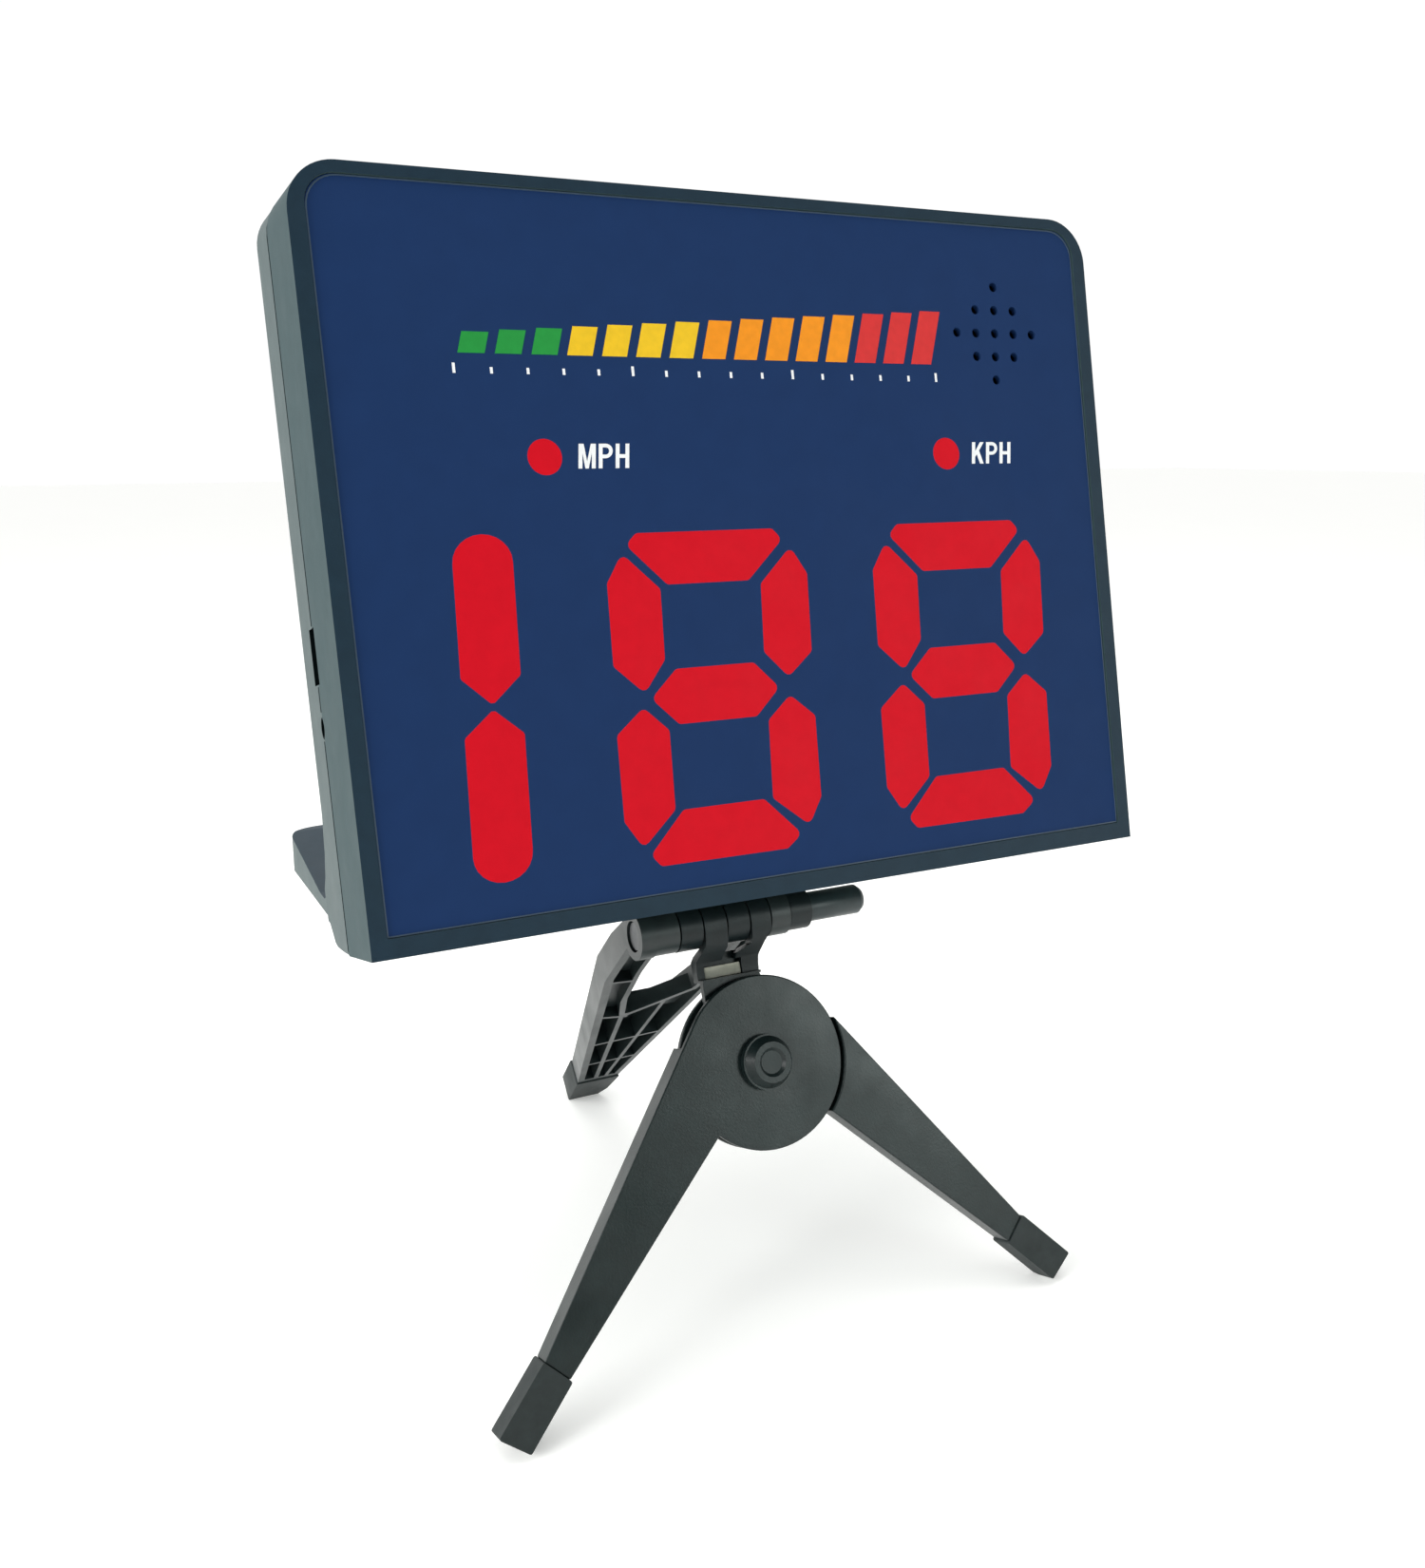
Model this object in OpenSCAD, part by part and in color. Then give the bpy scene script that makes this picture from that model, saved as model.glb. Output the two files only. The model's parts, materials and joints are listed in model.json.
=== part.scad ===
// Sports speed display on a folding three-leg table tripod.
// X runs along the display to the right, Y to the back, Z up from the floor.
// The tripod's barrel, an axis along X, carries the mounting platform, the
// yoke of the front legs and the rear leg.

/* [Display housing] */
// Outer width of the housing
body_w = 180.6; // [180:0.2:184]
// Height of the housing's front face
body_h = 145; // [144.8:0.1:148]
// Slope of the housing's top, rising to the back, in degrees
top_slope = 10; // [8:0.5:11]
// Slope of the housing's bottom, falling to the back, in degrees
bottom_slope = 4.2; // [3.8:0.1:4.4]
// Radius of the two upper corners
corner_r = 9.5; // [7:0.5:11]
// Depth of the front bezel, from the front face to the seam
seam_y = 24.2; // [24:0.1:24.4]
// Depth of the flat back from the front face
back_y = 39.5; // [39.3:0.1:40]
// Wall thickness of the two shells
wall_t = 2.2; // [2:0.1:2.3]
// Slope of the base's underside to the housing's bottom, in degrees
base_slope = 8.5; // [8.2:0.1:8.8]
// Depth of the base's rear end from the front face
base_y = 104; // [96:0.5:106]

/* [Front panel] */
// Thickness of the printed front panel
panel_t = 1.5; // [1.2:0.1:1.5]
// Width of the bezel's rim beside the panel
rim_side = 3.3; // [3:0.1:4]
// Height of the seven-segment digits
digit_h = 67.6; // [64:0.4:68]
// Width of a full digit
digit_w = 45.2; // [44:0.4:46]
// Width of a segment's stroke
stroke = 11.2; // [10.4:0.2:11.4]
// Lean of the digits to the right, in degrees
slant = 2.2; // [0:0.2:3]
// Diameter of a sound hole
sound_hole_d = 2.1; // [1.6:0.1:2.6]
// Distance between sound holes
sound_pitch = 5.2; // [4.6:0.2:5.4]

/* [Posture] */
// Backward lean of the display, in degrees
tilt = 12.4; // [8:0.2:16]
// Forward lean of the front legs' plane, in degrees
front_lean = 21.8; // [20:0.2:24]
// Backward lean of the rear leg, in degrees
rear_lean = 47.7; // [46:0.1:49]
// Angle between a front leg's inner edge and the middle line, in degrees
spread = 45.8; // [44:0.2:46.6]

/* [Tripod] */
// Height of the barrel's axis above the floor
barrel_z = 91.5; // [90.8:0.1:91.9]
// Radius of the barrel's knuckles
barrel_r = 5.3; // [5:0.1:5.4]
// Radius of the clamping bolt through the barrel
bolt_r = 1.75; // [1.5:0.05:1.9]
// Distance from the barrel's axis to the front legs' pivot
hub_drop = 33; // [32.8:0.1:33.6]
// Radius of the front legs' round heads
disc_r = 19.7; // [19.3:0.1:19.7]
// Thickness of the front legs
leg_t = 6; // [5.8:0.1:6.4]
// Distance from the front pivot to a foot's tip
leg_len = 93.8; // [93:0.2:94.6]
// Thickness of the rear leg
rear_t = 7; // [6.6:0.1:7]
// Distance from the barrel to the rear foot's tip
rear_len = 138; // [137:0.5:140]

/* [Battery] */
// Diameter of a cell
cell_d = 18.5; // [17.8:0.1:18.6]
// Length of a cell
cell_l = 65; // [64:0.5:65]

/* [Hidden] */

$fn = 48;
e = 0.02;
frame_y = 32.43;                     // row origin in front of the barrel's axis
hw = body_w/2;
zt = body_h;                         // top of the front face in the display's frame
axis_y = 34.28;                      // barrel axis in the display's frame
axis_z = -9.36;
plane_n = 10.36;                     // base underside above the barrel's axis
screw_u = 24;                        // tripod screw behind the barrel's axis
panel_y = 0.5;
wall_y0 = panel_y + panel_t;
wall_y1 = wall_y0 + 2;
led_y = 8.5;
main_y = 27.4;
panel_z0 = 3.9;
panel_z1 = 142.65;
spk = [63.2, 118.5];
usb_z = 58;
usb_y = 25.8;
led_z = 43.8;
btn_z = 86;
btn_x = [-24, 0, 24];
case_pos = [[-79, 30], [79, 30], [-79, 133], [79, 133]];
main_pos = [[-66, 45], [54, 45], [-66, 95], [54, 95]];
front_pos = [[-68, 88], [68, 88]];
radar_pos = [[-37, 101], [7, 101], [-37, 135], [7, 135]];
cell_c = [26, 11.7];
tri_x = -1.2;
disc_t = (leg_t - 4*0.3)/3;          // three layers with running gaps
knuck_gap = 0.18;
own_rear = [[-22.2, -16.3], [6.9, 12.3]];
own_yoke = [[-10.5, -4.5], [1.4, 6.9]];
own_plat = [[-16.3, -10.5], [-4.5, 1.4], [12.3, 18.3]];

col_bezel = "#33495c";
col_shell = "#3d5160";
col_navy = "#243b65";
col_red = "#de1a26";
col_trip = "#3c4b48";
col_rub = "#22292a";

// ---- helpers ----
function unit(v) = v/norm(v);
// polygon with its corners rounded to radius r, n chords a corner
function soft(pts, r, n = 4) = let (m = len(pts)) [for (i = [0 : m-1])
  let (p = pts[i], a = unit(pts[(i+m-1)%m] - p), b = unit(pts[(i+1)%m] - p),
       h = acos(a*b)/2, t = r/tan(h), c = p + unit(a+b)*r/sin(h),
       v0 = p + a*t - c, v1 = p + b*t - c, w = 180 - 2*h)
  for (k = [0 : n]) c + (sin((1-k/n)*w)*v0 + sin(k/n*w)*v1)/sin(w)];
function flip(pts) = [for (p = pts) [p[0], -p[1]]];
function bar(p, q, t) = let (d = unit(q - p), s = [-d[1], d[0]]*t/2) [p + s, q + s, q - s, p - s];
module slab(y0, y1) { translate([0, y1, 0]) rotate([90, 0, 0]) linear_extrude(y1 - y0) children(); }
module rod_y(x, z, r, y0, y1) { translate([x, y1, z]) rotate([90, 0, 0]) cylinder(r = r, h = y1 - y0); }
module rod_x(x0, x1, y, z, r) { translate([x0, y, z]) rotate([0, 90, 0]) cylinder(r = r, h = x1 - x0); }
module box(x0, x1, y0, y1, z0, z1) { translate([x0, y0, z0]) cube([x1-x0, y1-y0, z1-z0]); }
// rectangle in X and Z with round upper and lower corners
module plate2(x, z0, z1, rt, rb) {
  union() {
    translate([-x, z0+rb]) square([2*x, z1-z0-rt-rb]);
    translate([-x+rt, z0+rb]) square([2*x-2*rt, z1-z0-rb]);
    translate([-x+rb, z0]) square([2*x-2*rb, z1-z0-rt]);
    for (s = [-1, 1]) {
      translate([s*(x-rt), z1-rt]) circle(r = rt);
      translate([s*(x-rb), z0+rb]) circle(r = rb);
    }
  }
}
// block of the housing, with its round upper corners, drawn in by d
module housing(y0, y1, d) {
  zc = zt*cos(top_slope);
  intersection() {
    box(-hw+d, hw-d, y0, y1, -10, 170);
    rotate([-bottom_slope, 0, 0]) box(-100, 100, -60, 130, d, 300);
    rotate([top_slope, 0, 0]) union() {
      box(-hw, hw, -60, 130, -60, zc-corner_r);
      box(-hw+corner_r, hw-corner_r, -60, 130, -60, zc-d);
      for (s = [-1, 1]) rod_y(s*(hw-corner_r), zc-corner_r, corner_r-d, -60, 130);
    }
  }
}
module on_barrel() { translate([0, -frame_y, barrel_z]) children(); }
module in_display() { on_barrel() rotate([-tilt, 0, 0]) translate([0, -axis_y, -axis_z]) children(); }
module in_platform() { on_barrel() rotate([base_slope-tilt, 0, 0]) children(); }
module in_front() { on_barrel() rotate([-front_lean, 0, 0]) children(); }
module in_hub() { in_front() translate([tri_x, 0, -hub_drop]) children(); }
module in_rear() { on_barrel() rotate([rear_lean, 0, 0]) children(); }
module knuckles(list, r) { for (k = list) rod_x(k[0]+knuck_gap, k[1]-knuck_gap, 0, 0, r); }
module floor_cut() { translate([-300, -300, -60]) cube([600, 600, 60]); }

// ---- digits ----
dw = digit_w/2;
di = dw - stroke;
dh = digit_h;
gm = dh/2 + 0.7;
seg_a = [[-dw+7.2, dh], [dw-7.2, dh], [dw-4.9, dh-2.3], [di-2.2, dh-stroke+0.7], [-di+2.2, dh-stroke+0.7], [-dw+4.9, dh-2.3]];
seg_g = [[-di-2.9, gm], [-di+2.9, gm+5.6], [di-2.2, gm+5.6], [di+3.5, gm], [di-2.2, gm-5.6], [-di+2.9, gm-5.6]];
seg_d = [[-dw+6, 3.3], [-di+2.6, stroke+0.4], [di-1.7, stroke+0.4], [dw-4.4, 3.3], [dw-8, 0.6], [-dw+8.2, 0.8]];
seg_f = [[-dw+3.9, dh-3.9], [-dw+0.4, dh-9.7], [-dw+0.6, gm+7], [-dw+7, gm+1.2], [-di+0.6, gm+7.6], [-di+0.6, dh-stroke-0.1]];
seg_b = [[dw-3.1, dh-3.9], [dw+0.6, dh-9.7], [dw+0.6, gm+7], [dw-5.3, gm+2], [di+0.4, gm+7.6], [di+0.6, dh-stroke-0.1]];
seg_e = [[-dw+6.4, gm-1.6], [-di+0.6, gm-6.6], [-di+0.8, stroke+0.6], [-dw+4.6, 4.9], [-dw+0.8, 10.6], [-dw+0.4, gm-6.6]];
seg_c = [[dw-5.3, gm-1.8], [dw+0.5, gm-6.6], [dw+0.8, 10.6], [dw-2.4, 4.9], [di+0.4, stroke+0.3], [di+0.5, gm-6.6]];
full8 = [seg_a, seg_g, seg_d, seg_f, seg_b, seg_e, seg_c];
one_w = 11.8;
function dome(z, sgn) = [for (k = [0 : 12]) let (a = 180*k/12) [-sgn*cos(a)*one_w/2, z + sgn*sin(a)*(one_w/2-0.5)]];
seg_u = concat(dome(dh-4.6, 1), [[one_w/2, dh/2+7.6], [0, dh/2+2.3], [-one_w/2, dh/2+7.6]]);
seg_l = concat(dome(7.6, -1), [[-one_w/2, dh/2-3.6], [0, dh/2+1.4], [one_w/2, dh/2-3.6]]);
one = [seg_u, seg_l];
dig_x = [-63.8, -16.8, 45.0];
dig_z = 8.8;
function lean(pts, x) = [for (p = pts) [p[0] + x + p[1]*tan(slant), p[1] + dig_z]];
module digit_prisms(i, y0, y1) {
  for (s = (i == 0 ? one : full8)) slab(y0, y1) polygon(lean(soft(s, len(s) > 8 ? 0.6 : 1.3, len(s) > 8 ? 1 : 3), dig_x[i]));
}
function seg_mid(s) = let (m = len(s)) [for (k = [0, 1]) [for (p = s) p[k]] * [for (p = s) 1] / m];
function led_at() = [for (i = [0 : 2]) for (s = (i == 0 ? one : full8)) let (c = seg_mid(s)) [c[0] + dig_x[i] + c[1]*tan(slant), c[1] + dig_z]];
sound_rows = [1, 3, 5, 3, 1];
function sound_at() = [for (r = [0 : 4]) for (k = [0 : sound_rows[r]-1]) [spk[0] + (k - (sound_rows[r]-1)/2)*sound_pitch + (r-2)*0.3, spk[1] + (r-2)*sound_pitch]];

// ---- display ----
module usb_cut() { slab_z = 5.6; box(-hw-1, -hw+wall_t+1, usb_y-3.2, usb_y+3.2, usb_z-slab_z, usb_z+slab_z); }

module front_bezel() {
  color(col_bezel) in_display() difference() {
    union() {
      difference() {
        housing(0, seam_y, 0);
        housing(wall_y1, seam_y+1, wall_t);
      }
      for (p = case_pos) rod_y(p[0], p[1], 4, wall_y1-e, seam_y);
      for (x = [-74, 74]) box(x-0.8, x+0.8, wall_y1, 18, 0.4, 6);
      for (p = front_pos) rod_y(p[0], p[1], 2.8, wall_y1-e, led_y);
      for (p = radar_pos) rod_y(p[0], p[1], 2.4, wall_y1-e, 6);
      // ring that seats the speaker
      difference() { rod_y(spk[0], spk[1], 18, wall_y1-e, 8); rod_y(spk[0], spk[1], 16.2, wall_y1-1, 9); }
    }
    slab(-1, wall_y0) plate2(hw-rim_side+0.1, panel_z0-0.1, panel_z1+0.1, 6, 0.6);
    box(-73, 73, wall_y0-e, wall_y1+e, 6, 80);
    for (x = [-46.9, 47]) rod_y(x, 91.6, 3.4, wall_y0-e, wall_y1+e);
    rod_y(spk[0], spk[1], 14, wall_y0-e, wall_y1+e);
    for (p = case_pos) rod_y(p[0], p[1], 1.55, 10, seam_y+1);
    usb_cut();
    rod_x(-hw-1, -hw+wall_t+1, usb_y-0.6, led_z, 2.2);
    for (p = front_pos) rod_y(p[0], p[1], 1.05, wall_y1+1, led_y+1);
    for (p = radar_pos) rod_y(p[0], p[1], 1.05, wall_y1+0.4, 7);
    for (s = [-1, 1]) rotate([-bottom_slope, 0, 0]) translate([s*74, 12, -1]) cylinder(r = 5, h = 1.3);
  }
}

base_top = base_y - 6;
base_prof = [[18, -1.3], [22, -1.62], [31, -1.75], [38, -1.55], [40.5, -0.9], [45, 2.8], [base_y+5, 2.8+(base_y-40)*tan(base_slope)],
  [base_y+5, 21.6], [base_top, 20.2], [59, 8.2], [53, 7.2], [48.2, 8.8], [44.4, 12.6], [41.6, 18], [back_y, 26], [back_y, 50], [18, 50]];
module base_plan() {
  box(-hw+0.95, hw-0.95, seam_y, seam_y+1, -20, 60);
  box(-hw+0.15, hw-0.15, seam_y+0.9, 47, -20, 60);
  box(-hw+0.8, hw-0.8, 46, base_y-14, -20, 60);
  // upright end with rounded corners
  translate([0, base_y, 16]) rotate([20, 0, 0]) {
    box(-hw+0.8, hw-0.8, -20, -9, -30, 30);
    box(-hw+9.8, hw-9.8, -20, 0, -30, 30);
    for (s = [-1, 1]) translate([s*(hw-9.8), -9, -30]) cylinder(r = 9, h = 60);
  }
}
module on_plane(u, x = 0) { translate([0, axis_y, axis_z]) rotate([base_slope, 0, 0]) translate([x, u, plane_n]) children(); }
module rear_shell() {
  color(col_shell) in_display() difference() {
    union() {
      difference() {
        union() {
          intersection() {
            union() { housing(seam_y+0.9, back_y, 0.15); housing(seam_y, seam_y+1, 0.95); }
            box(-200, 200, 0, 60, 24, 200);
          }
          intersection() {
            translate([-hw-1, 0, 0]) rotate([90, 0, 90]) linear_extrude(2*hw+2) polygon(soft(base_prof, 0.4, 2));
            base_plan();
          }
        }
        intersection() { housing(seam_y-1, back_y-wall_t, wall_t+0.15); box(-200, 200, 0, 60, 0.7, 200); }
      }
      for (p = case_pos) rod_y(p[0], p[1], 4.2, seam_y, back_y-wall_t+e);
      for (p = main_pos) rod_y(p[0], p[1], 2.8, main_y+1.6, back_y-wall_t+e);
      // boss round the threaded insert
      on_plane(screw_u) translate([0, 0, 1]) cylinder(r = 7.2, h = 9.4);
      for (x = [-6.2, 4.2]) box(x, x+2, back_y-e, 55, 6, 13.4);
    }
    for (p = case_pos) { rod_y(p[0], p[1], 3.4, back_y-6, back_y+1); rod_y(p[0], p[1], 1.7, seam_y-1, back_y); }
    for (p = main_pos) rod_y(p[0], p[1], 1.05, main_y, back_y-4);
    for (x = btn_x) rod_y(x, btn_z, 5.9, back_y-wall_t-1, back_y+1);
    on_plane(screw_u) translate([0, 0, -1]) cylinder(r = 4.5, h = 10);
    usb_cut();
    rod_x(-hw-1, -hw+wall_t+1, usb_y-0.6, led_z, 2.2);
    for (s = [-1, 1]) on_plane(base_y-44, s*74) translate([0, 0, -1]) cylinder(r = 5, h = 1.4);
  }
}

module display_panel() {
  color(col_navy) in_display() difference() {
    slab(panel_y, wall_y0) plate2(hw-rim_side, panel_z0, panel_z1, 5.9, 0.5);
    for (i = [0 : 2]) digit_prisms(i, panel_y-1, wall_y0+1);
    for (x = [-46.9, 47]) rod_y(x, 91.6, 3.5, panel_y-1, wall_y0+1);
    for (p = sound_at()) rod_y(p[0], p[1], sound_hole_d/2, panel_y-1, wall_y0+1);
  }
}
module hundreds_lens() { color(col_red) in_display() digit_prisms(0, panel_y, wall_y0); }
module tens_lens() { color(col_red) in_display() digit_prisms(1, panel_y, wall_y0); }
module units_lens() { color(col_red) in_display() digit_prisms(2, panel_y, wall_y0); }
module mph_lens() { color(col_red) in_display() rod_y(-46.9, 91.6, 3.5, panel_y, wall_y0); }
module kph_lens() { color(col_red) in_display() rod_y(47, 91.6, 3.5, panel_y, wall_y0); }

module digit_reflector() {
  color("white") in_display() difference() {
    box(-72.8, 72.8, wall_y0, led_y, 6.2, 79.8);
    for (i = [0 : 2]) digit_prisms(i, wall_y0-1, led_y+1);
    // hollow backs between the cells
    for (x = [-16.8+1.4, 45+1.4]) for (z = [26, 59.2]) box(x-8, x+8, wall_y0+1.4, led_y+1, z-7, z+7);
    box(-55, -43, wall_y0+1.4, led_y+1, 12, 74);
    box(9, 19, wall_y0+1.4, led_y+1, 12, 74);
  }
}
module led_board() {
  color("#1f6b3a") in_display() difference() {
    box(-73, 73, led_y, led_y+1.6, 5.6, 96);
    for (p = front_pos) rod_y(p[0], p[1], 1.3, led_y-1, led_y+3);
  }
}
module segment_leds() {
  color("#f3e7a5") in_display() {
    for (p = led_at()) box(p[0]-2.5, p[0]+2.5, led_y-1.7, led_y, p[1]-2.5, p[1]+2.5);
    for (x = [-46.9, 47]) box(x-2.2, x+2.2, led_y-1.7, led_y, 89.4, 93.8);
  }
}
module radar_board() {
  color("#1d5a33") in_display() difference() {
    box(-41, 11, 6, 7.6, 97.5, 138.5);
    for (p = radar_pos) rod_y(p[0], p[1], 1.3, 5, 9);
  }
}
module antenna_patches() {
  color("#c9a24a") in_display() for (i = [0 : 3]) for (j = [0 : 1]) {
    box(-32+i*9.6, -25.5+i*9.6, 5.7, 6, 106.5+j*13, 116+j*13-2);
  }
}
module radar_shield() { color("#b9bec2") in_display() difference() { box(-31, 1, 7.6, 11.2, 105, 131); box(-30.6, 0.6, 7.5, 10.8, 105.4, 130.6); } }
module main_board() {
  color("#1f6b3a") in_display() difference() {
    box(-86, 60, main_y, main_y+1.6, 40, 100);
    for (p = main_pos) rod_y(p[0], p[1], 1.3, main_y-1, main_y+3);
    box(-90, -83, main_y-1, main_y+3, 39, 41);
  }
}
module board_chips() {
  color("#191b1d") in_display() {
    box(-44, -30, main_y-1.6, main_y, 60, 74);
    box(-12, -2, main_y-1.5, main_y, 76, 82);
    box(4, 12, main_y-1.5, main_y, 60, 66);
    box(44, 52, main_y-3, main_y, 66, 74);
    rod_y(-58, 78, 3, main_y-7, main_y);
    rod_y(-50, 84, 3, main_y-7, main_y);
    box(-24, -18, main_y-2.2, main_y, 50, 54);
  }
}
module board_header() { color("#232629") in_display() box(20, 40, led_y+1.6, main_y, 50, 55); }
module usb_socket() {
  color("#c3c7ca") in_display() difference() {
    box(-hw+3.4, -hw+11, usb_y-1.6, main_y, usb_z-4.5, usb_z+4.5);
    difference() {
      box(-hw, -hw+9.6, usb_y-1.3, usb_y+1.3, usb_z-4.15, usb_z+4.15);
      box(-hw+4.6, -hw+10, usb_y-0.35, usb_y+0.35, usb_z-3.3, usb_z+3.3);
    }
  }
}
module charge_light_pipe() { color("#d9e2e0") in_display() { rod_x(-hw+0.7, -hw+5, usb_y-0.6, led_z, 2.1); box(-hw+5, -hw+7, usb_y-2.1, main_y, led_z-1.6, led_z+1.6); } }
module tact_switches() {
  color("#2a2c2e") in_display() for (x = btn_x) {
    box(x-3, x+3, main_y+1.6, main_y+3.8, btn_z-3, btn_z+3);
    rod_y(x, btn_z, 1.7, main_y+3.8-e, main_y+4.8);
  }
}
module speaker_frame() {
  color("#5d6165") in_display() difference() {
    union() { rod_y(spk[0], spk[1], 16, wall_y1, 7.2); rod_y(spk[0], spk[1], 11, 7.1, 10.4); }
    rod_y(spk[0], spk[1], 14.2, 3, 6.4);
    rod_y(spk[0], spk[1], 9.6, 6.2, 9.4);
  }
}
module speaker_cone() {
  color("#17191b") in_display() difference() {
    union() {
      translate([spk[0], 6.2, spk[1]]) rotate([90, 0, 0]) cylinder(r1 = 8.4, r2 = 13.4, h = 1.6);
      rod_y(spk[0], spk[1], 7, 5.4, 8.6);
    }
    difference() {
      translate([spk[0], 5.6, spk[1]]) rotate([90, 0, 0]) cylinder(r1 = 7.8, r2 = 12.8, h = 1.6);
      rod_y(spk[0], spk[1], 7, 5.4, 8.6);
    }
  }
}
module speaker_magnet() { color("#8f9498") in_display() rod_y(spk[0], spk[1], 9.5, 10.4, 14.6); }
module battery_cells() {
  color("#2f6fb0") in_display() for (s = [-1, 1]) {
    x0 = s < 0 ? -cell_l-1 : 1;
    rod_x(x0, x0+cell_l-1.4, cell_c[0], cell_c[1], cell_d/2);
    rod_x(x0+cell_l-1.4-e, x0+cell_l, cell_c[0], cell_c[1], 3);
  }
}
module battery_cradle() {
  r = 9.4;
  color("#1c1f21") in_display() difference() {
    union() {
      rod_x(-69.5, 69.5, cell_c[0], cell_c[1], r+1.3);
    }
    rod_x(-67, 67, cell_c[0], cell_c[1], r);
    box(-80, 80, 20, 50, cell_c[1]+1, 40);
  }
}
module battery_tabs() { color("#cfd2d4") in_display() for (x = [-66.7, -0.4, 66.3]) box(x, x+0.4, cell_c[0]-3.4, cell_c[0]+3.4, cell_c[1]-4, cell_c[1]+8); }
module tripod_insert() {
  color("#c8a24c") in_display() on_plane(screw_u) translate([0, 0, 0.2])
    difference() { cylinder(r = 4.5, h = 8.6); translate([0, 0, -1]) cylinder(r = 3.17, h = 12); }
}
module case_screws() {
  color("#9aa0a4") in_display() for (p = case_pos) difference() {
    union() { rod_y(p[0], p[1], 3, back_y-6, back_y-3.8); rod_y(p[0], p[1], 1.5, 12, back_y-5.9); }
    box(p[0]-2, p[0]+2, back_y-4.6, back_y, p[1]-0.4, p[1]+0.4);
    box(p[0]-0.4, p[0]+0.4, back_y-4.6, back_y, p[1]-2, p[1]+2);
  }
}
module board_screws() {
  color("#a9aeb2") in_display() {
    for (p = main_pos) { rod_y(p[0], p[1], 1, main_y-0.1, main_y+6); rod_y(p[0], p[1], 2, main_y-1.4, main_y); }
    for (p = front_pos) { rod_y(p[0], p[1], 1, led_y-3, led_y+1.7); rod_y(p[0], p[1], 2, led_y+1.6, led_y+3); }
    for (p = radar_pos) { rod_y(p[0], p[1], 1, 4.6, 7.7); rod_y(p[0], p[1], 2, 7.6, 9); }
  }
}
module base_pads() {
  color(col_rub) in_display() for (s = [-1, 1]) {
    on_plane(base_y-44, s*74) translate([0, 0, -0.6]) cylinder(r = 4.8, h = 1);
    rotate([-bottom_slope, 0, 0]) translate([s*74, 12, -0.6]) cylinder(r = 4.8, h = 0.9);
  }
}
module push_cap(x, r) {
  rod_y(x, btn_z, r, back_y-6, back_y+0.8);
  rod_y(x, btn_z, 7.2, back_y-wall_t-2.2, back_y-wall_t-0.4);
}
module power_button() { color("#b3262c") in_display() push_cap(btn_x[0], 5.5); }
module mode_button() { color("#20262b") in_display() push_cap(btn_x[1], 5.5); }
module unit_button() { color("#20262b") in_display() push_cap(btn_x[2], 5.5); }

// ---- mounting platform ----
module mount_platform() {
  color(col_trip) in_platform() difference() {
    union() {
      difference() {
        union() {
          box(-15.5, 18.1, 0, 26, 3.9, 6.9);
          translate([0, screw_u, 3.9]) cylinder(r = 13.4, h = 3);
          translate([0, screw_u, 6.8]) cylinder(r = 11, h = 2.5);
          for (x = [-13.5, 13.2]) box(x, x+2.4, 3, 24, 2.4, 4);
        }
        for (k = own_yoke) rod_x(k[0]-knuck_gap, k[1]+knuck_gap, 0, 0, barrel_r+0.55);
        rod_x(5.5, 12.6, 0, 0, barrel_r+1.5);
        translate([0, screw_u, 0]) cylinder(r = 3.5, h = 20);
        translate([0, screw_u, 0]) cylinder(r = 8.8, h = 5.4);
      }
      knuckles([own_plat[0], own_plat[1]], barrel_r);
      knuckles([own_plat[2]], barrel_r-0.5);
    }
    rod_x(-30, 30, 0, 0, bolt_r+0.07);
  }
}
module platform_pad() {
  color(col_rub) in_platform() translate([0, screw_u, 9.3]) difference() {
    cylinder(r = 10.6, h = plane_n-9.4);
    translate([0, 0, -1]) cylinder(r = 3.8, h = 20);
    for (k = [0 : 2]) translate([0, 0, plane_n-9.4-0.35]) difference() { cylinder(r = 5.6+1.8*k, h = 1); translate([0, 0, -1]) cylinder(r = 5+1.8*k, h = 3); }
  }
}
module mount_screw() {
  color("#2b3234") in_platform() translate([0, screw_u, 0]) difference() {
    union() {
      translate([0, 0, 2]) cylinder(r = 7.6, h = 3);
      translate([0, 0, 4.9]) cylinder(r = 3.1, h = plane_n+5.6-4.9);
    }
    for (k = [0 : 23]) rotate([0, 0, 15*k]) translate([7.9, 0, 0]) cylinder(r = 0.65, h = 8, $fn = 16);
    translate([0, 0, 1.9]) cylinder(r = 5.2, h = 0.8);
    translate([0, 0, 1.9]) box(-4.4, 4.4, -0.7, 0.7, 0, 1.7);
  }
}

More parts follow.
